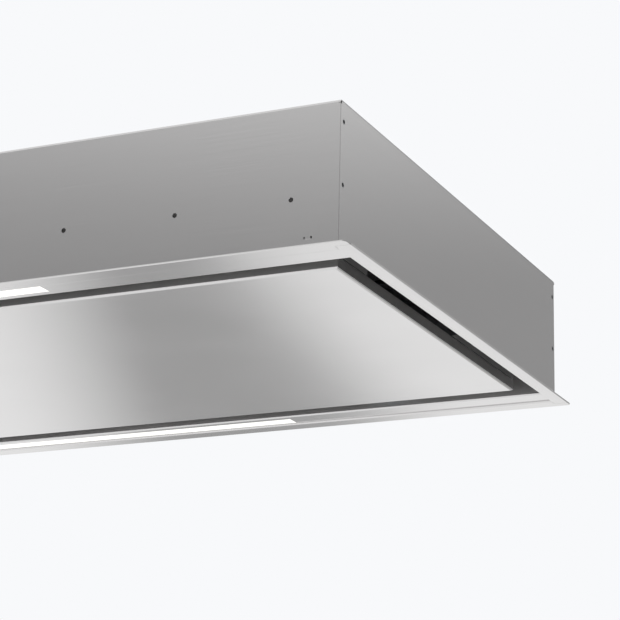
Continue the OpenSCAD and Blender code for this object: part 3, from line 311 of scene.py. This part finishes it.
def zinc_sheet(name, hexcode, rough):
    """Hot-dip galvanised sheet: flat crystals a few millimetres across, each a little lighter
    or darker than its neighbours, and a soft dull shine."""
    material, tree, shader = blank(name)
    place = add(tree, "ShaderNodeTexCoord").outputs["Object"]
    crystals = add(tree, "ShaderNodeTexVoronoi", inputs={"Scale": 160.0, "Randomness": 1.0},
                   links={"Vector": place})
    grey = add(tree, "ShaderNodeSeparateColor", links={"Color": crystals.outputs["Color"]})
    tone = ramp(tree, grey.outputs[0], (0.0, toned(hexcode, 0.86)), (1.0, toned(hexcode, 1.12)))
    tree.links.new(tone.outputs[0], shader.inputs["Base Color"])
    gloss = add(tree, "ShaderNodeMath", {"operation": "MULTIPLY_ADD"}, {1: 0.14, 2: rough - 0.07},
                {0: grey.outputs[1]})
    tree.links.new(gloss.outputs[0], shader.inputs["Roughness"])
    grain = add(tree, "ShaderNodeTexNoise", inputs={"Scale": 900.0, "Detail": 2.0},
                links={"Vector": place})
    bump = add(tree, "ShaderNodeBump", inputs={"Strength": 0.08, "Distance": 0.0003},
               links={"Height": grain.outputs["Fac"]})
    tree.links.new(bump.outputs[0], shader.inputs["Normal"])
    shader.inputs["Metallic"].default_value = 1.0
    return material


def plated_steel(name, hexcode, rough):
    """Zinc-plated steel, turned or drawn: bright, with a slight cloudiness."""
    material, tree, shader = blank(name)
    place = add(tree, "ShaderNodeTexCoord").outputs["Object"]
    clouds = add(tree, "ShaderNodeTexNoise", inputs={"Scale": 420.0, "Detail": 3.0},
                 links={"Vector": place})
    tone = ramp(tree, clouds.outputs["Fac"], (0.35, toned(hexcode, 0.88)), (0.65, toned(hexcode, 1.08)))
    tree.links.new(tone.outputs[0], shader.inputs["Base Color"])
    gloss = add(tree, "ShaderNodeMath", {"operation": "MULTIPLY_ADD"}, {1: 0.16, 2: rough - 0.08},
                {0: clouds.outputs["Fac"]})
    tree.links.new(gloss.outputs[0], shader.inputs["Roughness"])
    shader.inputs["Metallic"].default_value = 1.0
    return material


def moulded(name, hexcode, rough, grain_mm=0.6, depth=0.12):
    """Injection-moulded or cast polymer: an even colour with a fine spark-eroded grain."""
    material, tree, shader = blank(name)
    place = add(tree, "ShaderNodeTexCoord").outputs["Object"]
    grain = add(tree, "ShaderNodeTexNoise", inputs={"Scale": 1 / (grain_mm * MM), "Detail": 2.0},
                links={"Vector": place})
    tone = ramp(tree, grain.outputs["Fac"], (0.3, toned(hexcode, 0.9)), (0.7, toned(hexcode, 1.1)))
    tree.links.new(tone.outputs[0], shader.inputs["Base Color"])
    bump = add(tree, "ShaderNodeBump", inputs={"Strength": depth, "Distance": 0.0003},
               links={"Height": grain.outputs["Fac"]})
    tree.links.new(bump.outputs[0], shader.inputs["Normal"])
    shader.inputs["Roughness"].default_value = rough
    return material


def opal_acrylic(name, hexcode, glow):
    """Extruded opal acrylic with the light on behind it: an even white glow on a satin surface."""
    material, tree, shader = blank(name)
    place = add(tree, "ShaderNodeTexCoord").outputs["Object"]
    haze = add(tree, "ShaderNodeTexNoise", inputs={"Scale": 60.0, "Detail": 2.0},
               links={"Vector": place})
    tone = ramp(tree, haze.outputs["Fac"], (0.3, toned(hexcode, 0.97)), (0.7, linear(hexcode)))
    tree.links.new(tone.outputs[0], shader.inputs["Base Color"])
    tree.links.new(tone.outputs[0], shader.inputs["Emission Color"])
    shader.inputs["Emission Strength"].default_value = glow
    shader.inputs["Roughness"].default_value = 0.45
    return material


def dress(material, nodes):
    """Gives CAD nodes a material."""
    for name in nodes:
        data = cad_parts[name].data
        data.materials.clear()
        data.materials.append(material)


# Settings

class HoodFinishSettings(bpy.types.PropertyGroup):
    """Colours and gloss of the finishes."""
    stainless: bpy.props.StringProperty(
        name="Stainless", description="sRGB hex colour of the brushed stainless sheet", default="D8D7D7")
    stainless_rough: bpy.props.FloatProperty(
        name="Stainless roughness", description="Roughness of the brushed stainless sheet",
        default=0.10, min=0.05, max=1)
    inner: bpy.props.StringProperty(
        name="Inner sheet", description="sRGB hex colour of the plain inner sheet", default="A8A8A8")
    zinc: bpy.props.StringProperty(
        name="Zinc sheet", description="sRGB hex colour of the zinc-coated sheet", default="C2C6C9")
    glow: bpy.props.FloatProperty(
        name="Glow", description="Strength of the lit strips", default=0.5, min=0, max=20)


class HoodPieceSettings(bpy.types.PropertyGroup):
    """Sizes of the small pieces."""
    bail_half_width: bpy.props.FloatProperty(
        name="Bail half width", description="From a bail's middle to its leg",
        default=25 * MM, unit="LENGTH")
    bail_bend: bpy.props.FloatProperty(
        name="Bail bend", description="Radius of the bends in a bail's wire",
        default=3 * MM, unit="LENGTH")
    duct_radius: bpy.props.FloatProperty(
        name="Collar radius", description="Outer radius of the duct collar",
        default=74.5 * MM, unit="LENGTH")
    bead_low: bpy.props.FloatProperty(
        name="Lower bead", description="Height of the lower bead over the collar's foot",
        default=14 * MM, unit="LENGTH")
    bead_high: bpy.props.FloatProperty(
        name="Upper bead", description="Depth of the upper bead under the collar's edge",
        default=9 * MM, unit="LENGTH")
    bead_reach: bpy.props.FloatProperty(
        name="Bead reach", description="How far a bead stands out", default=1.3 * MM, unit="LENGTH")
    bead_width: bpy.props.FloatProperty(
        name="Bead width", description="Width of a bead", default=4.5 * MM, unit="LENGTH")


class HoodStageSettings(bpy.types.PropertyGroup):
    """Camera and floor."""
    camera_place: bpy.props.FloatVectorProperty(
        name="Camera", description="Place of the camera", default=(1.24755, -1.69395, -0.52496),
        subtype="TRANSLATION", unit="LENGTH")
    lens: bpy.props.FloatProperty(
        name="Lens", description="Focal length for a 36 mm wide picture", default=129.98, unit="CAMERA")
    floor_drop: bpy.props.FloatProperty(
        name="Floor", description="Height of the hood over the studio floor", default=7.0, unit="LENGTH")


# Stage

# Rows of the camera's turn, fitted to the long edges of the object in its picture
CAMERA_RIGHT = (0.90736, 0.41980, 0.02156)
CAMERA_UP = (0.10181, -0.26924, 0.95768)
CAMERA_BACK = (0.40784, -0.86676, -0.28704)

# Brightness of the room's bands and boxes
BOX_LEVEL = 1.0
FLOOR_LEVEL = 1.0
GAP_LEVEL = 0.4
WALL_LOW, WALL_HIGH = 0.35, 0.9
# Degrees between which a box begins or ends, round the upright axis
RIGHT_BOX_NEAR, RIGHT_BOX_FAR = (88, 93), (97, 103)
LEFT_BOX_NEAR = (110, 118)
FRONT_BOX_NEAR, FRONT_BOX_FAR = (-170, -150), (-100, -80)
# Degrees that a box turns for each degree of height
RIGHT_SLANT, LEFT_SLANT = 1.0, 0.4
# Degrees of height between which the floor ends and the wall grows lighter
FLOOR_EDGE = (-35, -20)
WALL_EDGE = (17, 26)


def studio_world():
    """A plain soft studio: a pale floor, a wall that grows lighter upward, and three soft boxes below
    the horizon. One stands in front of the hood and two behind it, at the camera's right and left.
    The camera itself sees an even pale backdrop."""
    world = bpy.data.worlds.new("pale_room")
    bpy.context.scene.world = world
    world.use_nodes = True
    tree = world.node_tree
    tree.nodes.clear()
    split = add(tree, "ShaderNodeSeparateXYZ",
                links={0: add(tree, "ShaderNodeTexCoord").outputs["Generated"]})

    def calc(kind, *values):
        made = add(tree, "ShaderNodeMath", {"operation": kind})
        for place, value in enumerate(values):
            if isinstance(value, (int, float)):
                made.inputs[place].default_value = value
            else:
                tree.links.new(value, made.inputs[place])
        return made.outputs[0]

    def fade(value, edge, low=0.0, high=1.0):
        made = add(tree, "ShaderNodeMapRange", {"interpolation_type": "SMOOTHSTEP"},
                   {"From Min": edge[0], "From Max": edge[1], "To Min": low, "To Max": high},
                   {"Value": value})
        return made.outputs[0]

    height = calc("DEGREES", calc("ARCSINE", split.outputs["Z"]))
    turn = calc("DEGREES", calc("ARCTAN2", split.outputs["Y"], split.outputs["X"]))
    to_right = calc("MULTIPLY_ADD", height, RIGHT_SLANT, turn)
    to_left = calc("MULTIPLY_ADD", height, LEFT_SLANT, turn)
    right_box = calc("MULTIPLY", fade(to_right, RIGHT_BOX_NEAR), fade(to_right, RIGHT_BOX_FAR, 1.0, 0.0))
    front_box = calc("MULTIPLY", fade(turn, FRONT_BOX_NEAR), fade(turn, FRONT_BOX_FAR, 1.0, 0.0))
    boxes = calc("MAXIMUM", calc("MAXIMUM", right_box, fade(to_left, LEFT_BOX_NEAR)), front_box)
    room = fade(height, FLOOR_EDGE, FLOOR_LEVEL, GAP_LEVEL)
    below = calc("MAXIMUM", calc("MULTIPLY", boxes, BOX_LEVEL), room)
    over = calc("GREATER_THAN", height, 0.0)
    level = calc("ADD", calc("MULTIPLY", below, calc("SUBTRACT", 1.0, over)),
                 calc("MULTIPLY", fade(height, WALL_EDGE, WALL_LOW, WALL_HIGH), over))
    light = add(tree, "ShaderNodeBackground", inputs={"Color": (1, 1, 1, 1)}, links={"Strength": level})
    shown = add(tree, "ShaderNodeBackground", inputs={"Color": linear(BACKDROP), "Strength": 1.0})
    seen = add(tree, "ShaderNodeLightPath")
    mixed = add(tree, "ShaderNodeMixShader",
                links={0: seen.outputs["Is Camera Ray"], 1: light.outputs[0], 2: shown.outputs[0]})
    add(tree, "ShaderNodeOutputWorld", links={"Surface": mixed.outputs[0]})


class HOOD_OT_stage(bpy.types.Operator):
    """Floor, world and the camera at the picture's angle."""
    bl_idname = "hood.stage"
    bl_label = "Stage"

    def execute(self, context):
        s = context.scene.hood_stage
        studio_world()
        half, z = 40.0, -s.floor_drop
        mesh = bpy.data.meshes.new("floor")
        mesh.from_pydata([(-half, -half, z), (half, -half, z), (half, half, z), (-half, half, z)],
                         [], [(0, 1, 2, 3)])
        floor = bpy.data.objects.new("floor", mesh)
        context.scene.collection.objects.link(floor)
        material, tree, shader = blank("pale_floor")
        shader.inputs["Roughness"].default_value = 0.8
        shader.inputs["Base Color"].default_value = linear("F2F2F0")
        # To the camera the floor is mostly backdrop, and a fifth of it is its own lit surface
        pale = add(tree, "ShaderNodeEmission", inputs={"Color": linear(BACKDROP), "Strength": 1.0})
        share = add(tree, "ShaderNodeMath", {"operation": "MULTIPLY"}, {1: 0.8},
                    {0: add(tree, "ShaderNodeLightPath").outputs["Is Camera Ray"]})
        mixed = add(tree, "ShaderNodeMixShader",
                    links={0: share.outputs[0], 1: shader.outputs[0], 2: pale.outputs[0]})
        tree.links.new(mixed.outputs[0], tree.nodes["Material Output"].inputs["Surface"])
        # The sheet mirrors the floor of the room in the world instead
        floor.visible_glossy = False
        mesh.materials.append(material)
        camera_data = bpy.data.cameras.new("camera")
        camera_data.sensor_width = 36.0
        camera_data.sensor_fit = "HORIZONTAL"
        camera_data.lens = s.lens
        camera_data.clip_start = 0.01
        camera_data.clip_end = 100.0
        camera = bpy.data.objects.new("camera", camera_data)
        context.scene.collection.objects.link(camera)
        turn = Matrix([CAMERA_RIGHT, CAMERA_UP, CAMERA_BACK]).transposed().to_4x4()
        camera.matrix_world = Matrix.Translation(s.camera_place) @ turn
        context.scene.camera = camera
        context.scene.view_settings.view_transform = "Standard"
        return {"FINISHED"}


class HOOD_OT_housing(bpy.types.Operator):
    """Sheet finishes of the housing, the light bars, the panel, the deck and the filters."""
    bl_idname = "hood.housing"
    bl_label = "Housing"

    def execute(self, context):
        s = context.scene.hood_finish
        dress(brushed_sheet("brushed_stainless_long", s.stainless, s.stainless_rough, "X"),
              ["main_shell"])
        dress(brushed_sheet("brushed_stainless_panel", s.stainless, s.stainless_rough, "X",
                            dull_mm=(1.4, 4.0)),
              ["suction_panel", "light_bar_front", "light_bar_rear"])
        dress(brushed_sheet("brushed_stainless_ends", s.stainless, s.stainless_rough, "Y"),
              ["end_plate_left", "end_plate_right"])
        dress(brushed_sheet("mill_finished_sheet", s.inner, 0.42, "X", groove_mm=1.2, stroke_mm=60,
                            depth=0.03, bright=0.7),
              ["filter_deck", "panel_stiffeners"])
        dress(brushed_sheet("satin_filter_sheet", "B4B6B8", 0.34, "Y", groove_mm=0.8, stroke_mm=90,
                            depth=0.04),
              [n for k in FILTER_SIDES for n in ("filter_frame_" + k, "filter_baffles_" + k)])
        return {"FINISHED"}


class HOOD_OT_fittings(bpy.types.Operator):
    """Coated sheet, plated steel and polymer parts."""
    bl_idname = "hood.fittings"
    bl_label = "Fittings"

    def execute(self, context):
        s = context.scene.hood_finish
        dress(zinc_sheet("galvanised_sheet", s.zinc, 0.42),
              ["hanger_bracket_front_left", "hanger_bracket_front_right", "hanger_bracket_rear_left",
               "hanger_bracket_rear_right", "control_box", "control_box_lid", "duct_collar",
               "damper_flap_left", "damper_flap_right", "hinge_leaves_fixed", "hinge_leaves_moving",
               "strike_plates"])
        dress(plated_steel("plated_steel", "BFC1C3", 0.26),
              ["end_plate_rivets", "bracket_screws", "light_bar_screws", "lid_screws", "collar_screws",
               "hinge_screws", "hinge_pins", "damper_spindle", "filter_bail_left", "filter_bail_middle",
               "filter_bail_right"])
        dress(moulded("moulded_nylon", "1E1F21", 0.5),
              ["light_bar_end_caps", "led_connectors", "lead_clips", "catch_housings", "gland_bodies",
               "gland_locknuts", "gland_caps"])
        dress(moulded("black_rubber", "18181A", 0.75, grain_mm=0.9, depth=0.2),
              ["gland_seals", "collar_gasket"])
        dress(moulded("pvc_sheath", "202124", 0.55, grain_mm=1.2, depth=0.05),
              ["led_lead_front", "led_lead_rear"])
        dress(moulded("white_housing", "E4E4E0", 0.5), ["led_driver", "terminal_block"])
        dress(moulded("white_solder_mask", "ECECE4", 0.35), ["led_board_front", "led_board_rear"])
        dress(moulded("green_solder_mask", "1F5233", 0.35), ["receiver_board"])
        dress(plated_steel("ferrite_in_cup", "5A5B5D", 0.5), ["catch_magnets"])
        dress(opal_acrylic("opal_acrylic", "FFFFFB", s.glow), ["diffuser_front", "diffuser_rear"])
        return {"FINISHED"}


class HOOD_OT_screws(bpy.types.Operator):
    """Pan-head screws with cross recesses and threads, in place of the plain ones."""
    bl_idname = "hood.screws"
    bl_label = "Screws"

    def execute(self, context):
        steel = bpy.data.materials["plated_steel"]
        for node, axis in (("bracket_screws", 2), ("collar_screws", 2), ("lid_screws", 2),
                           ("light_bar_screws", 1), ("hinge_screws", 1)):
            parts = []
            for low, high in solids_of(node):
                middle = (low + high) / 2
                length = high[axis] - low[axis]
                head_up = node in ("bracket_screws", "collar_screws", "hinge_screws") or (
                    node == "light_bar_screws" and middle[1] < 0)
                top = middle.copy()
                top[axis] = high[axis] if head_up else low[axis]
                direction = np.zeros(3)
                direction[axis] = -1 if head_up else 1
                head_r = (high[0] - low[0]) / 2
                parts.append(pan_head_screw(top, direction, head_r, head_r / 2, head_r / 2, length))
            piece(node + "_threaded", parts, steel, replaces=(node,))
        return {"FINISHED"}


class HOOD_OT_bails(bpy.types.Operator):
    """Bails of round wire, bent with soft corners and turned out at the ends."""
    bl_idname = "hood.bails"
    bl_label = "Filter bails"

    def execute(self, context):
        s = context.scene.hood_pieces
        wire = bpy.data.materials["plated_steel"]
        for side in FILTER_SIDES:
            (low, high), = solids_of("filter_bail_" + side)
            x, y = (low[0] + high[0]) / 2, (low[1] + high[1]) / 2
            r = (high[1] - low[1]) / 2
            half, top, bottom = (high[0] - low[0]) / 2, high[2] - r, low[2] + r
            leg = s.bail_half_width
            path = rounded_path([(x - half, y, top), (x - leg, y, top), (x - leg, y, bottom),
                                 (x + leg, y, bottom), (x + leg, y, top), (x + half, y, top)],
                                s.bail_bend)
            piece("bail_wire_" + side, [tube(path, r)], wire, body="bail_" + side,
                  replaces=("filter_bail_" + side,))
        return {"FINISHED"}


class HOOD_OT_glands(bpy.types.Operator):
    """Caps of the cable glands with moulded grips."""
    bl_idname = "hood.glands"
    bl_label = "Gland caps"

    def execute(self, context):
        parts = []
        for low, high in solids_of("gland_caps"):
            r = (high[0] - low[0]) / 2
            centre = ((low[0] + high[0]) / 2, (low[1] + high[1]) / 2, low[2])
            h = high[2] - low[2]
            wall, bore, mouth = h * 0.57, r * 0.68, r * 0.52
            foot, shoulder = h * 0.06, wall * 0.92
            dome = [(r * np.cos(a), wall + (h - wall) * np.sin(a))
                    for a in np.radians(np.linspace(8, 58, 9))]
            profile = [(bore, 0), (r * 0.94, 0), (r, h * 0.03), (r, foot), (r, h * 0.3), (r, shoulder),
                       (r, wall), *dome, (mouth, h), (mouth, wall), (bore, wall)]
            parts.append(ribbed_cap(profile, centre, ribs=16, depth=r * 0.07, ribbed=(foot, shoulder)))
        piece("gland_caps_ribbed", parts, bpy.data.materials["moulded_nylon"],
              replaces=("gland_caps",))
        return {"FINISHED"}


class HOOD_OT_collar_beads(bpy.types.Operator):
    """Rolled beads round the duct collar, and its folded lock seam."""
    bl_idname = "hood.collar_beads"
    bl_label = "Collar beads"

    def execute(self, context):
        s = context.scene.hood_pieces
        (low, high), = solids_of("duct_collar")
        r = s.duct_radius
        zinc = bpy.data.materials["galvanised_sheet"]
        parts = []
        sunk = 0.3 * MM
        for z in (low[2] + s.bead_low, high[2] - s.bead_high):
            bead = [(r - sunk + s.bead_reach * np.sin(a), z - s.bead_width / 2 * np.cos(a))
                    for a in np.linspace(0, np.pi, 13)]
            parts.append(turned([*bead, bead[0]], (0, 0, 0), (0, 0, 1), sides=128))
        piece("collar_beads", parts, zinc)
        # The seam is a low flat ridge between the beads, at the collar's front left
        across = np.array([-3.2, -3.2, -2.6, 2.6, 3.2, 3.2]) * MM
        out = np.array([-0.2, 0.35, 0.7, 0.7, 0.35, -0.2]) * MM
        z = np.linspace(low[2] + s.bead_low + s.bead_width,
                        high[2] - s.bead_high - s.bead_width, 8)
        seam_at = np.radians(-140)
        turn = seam_at + across / r
        ring = np.stack([(r + out) * np.cos(turn), (r + out) * np.sin(turn)], 1)
        co = np.concatenate([np.repeat(ring[None], len(z), 0),
                             np.repeat(z[:, None, None], len(across), 1)], 2)
        faces = [*grid_faces(len(z), len(across), around=True).tolist(), list(range(len(across)))[::-1],
                 [(len(z) - 1) * len(across) + i for i in range(len(across))]]
        piece("collar_lock_seam", [(co.reshape(-1, 3), faces)], zinc, smooth=False)
        return {"FINISHED"}


class HOOD_OT_filter_rivets(bpy.types.Operator):
    """Domed rivets on the corners of the filter frames."""
    bl_idname = "hood.filter_rivets"
    bl_label = "Filter rivets"

    def execute(self, context):
        r, h, sunk, inset = 2.4 * MM, 0.9 * MM, 0.3 * MM, 8 * MM
        dome = [(r * np.sin(a), h * np.cos(a)) for a in np.radians(np.linspace(0, 90, 7))]
        profile = [*dome, (r, -sunk), (0, -sunk)]
        for side in FILTER_SIDES:
            (low, high), = solids_of("filter_frame_" + side)
            parts = [turned(profile, (x, y, high[2]), (0, 0, 1), sides=20)
                     for x in (low[0] + inset, high[0] - inset)
                     for y in (low[1] + inset, high[1] - inset)]
            piece("filter_rivets_" + side, parts, bpy.data.materials["plated_steel"],
                  body="filter_" + side)
        return {"FINISHED"}


class HOOD_PT_panel(bpy.types.Panel):
    """Lists the hood's settings and steps."""
    bl_idname = "HOOD_PT_panel"
    bl_label = "Hood"
    bl_space_type = "VIEW_3D"
    bl_region_type = "UI"
    bl_category = "Hood"

    def draw(self, context):
        scene = context.scene
        for group in (scene.hood_finish, scene.hood_pieces, scene.hood_stage):
            for key in group.__annotations__:
                self.layout.prop(group, key)
        for step in STEPS:
            self.layout.operator(step.bl_idname)


STEPS = (HOOD_OT_stage, HOOD_OT_housing, HOOD_OT_fittings, HOOD_OT_screws, HOOD_OT_bails, HOOD_OT_glands,
         HOOD_OT_collar_beads, HOOD_OT_filter_rivets)
CLASSES = (HoodFinishSettings, HoodPieceSettings, HoodStageSettings, *STEPS, HOOD_PT_panel)


def register():
    for made in CLASSES:
        bpy.utils.register_class(made)
    bpy.types.Scene.hood_finish = bpy.props.PointerProperty(type=HoodFinishSettings)
    bpy.types.Scene.hood_pieces = bpy.props.PointerProperty(type=HoodPieceSettings)
    bpy.types.Scene.hood_stage = bpy.props.PointerProperty(type=HoodStageSettings)


def unregister():
    del bpy.types.Scene.hood_finish
    del bpy.types.Scene.hood_pieces
    del bpy.types.Scene.hood_stage
    for made in reversed(CLASSES):
        bpy.utils.unregister_class(made)


def main():
    register()
    bpy.ops.hood.stage()
    bpy.ops.hood.housing()
    bpy.ops.hood.fittings()
    bpy.ops.hood.screws()
    bpy.ops.hood.bails()
    bpy.ops.hood.glands()
    bpy.ops.hood.collar_beads()
    bpy.ops.hood.filter_rivets()


if __name__ == "__main__":
    main()
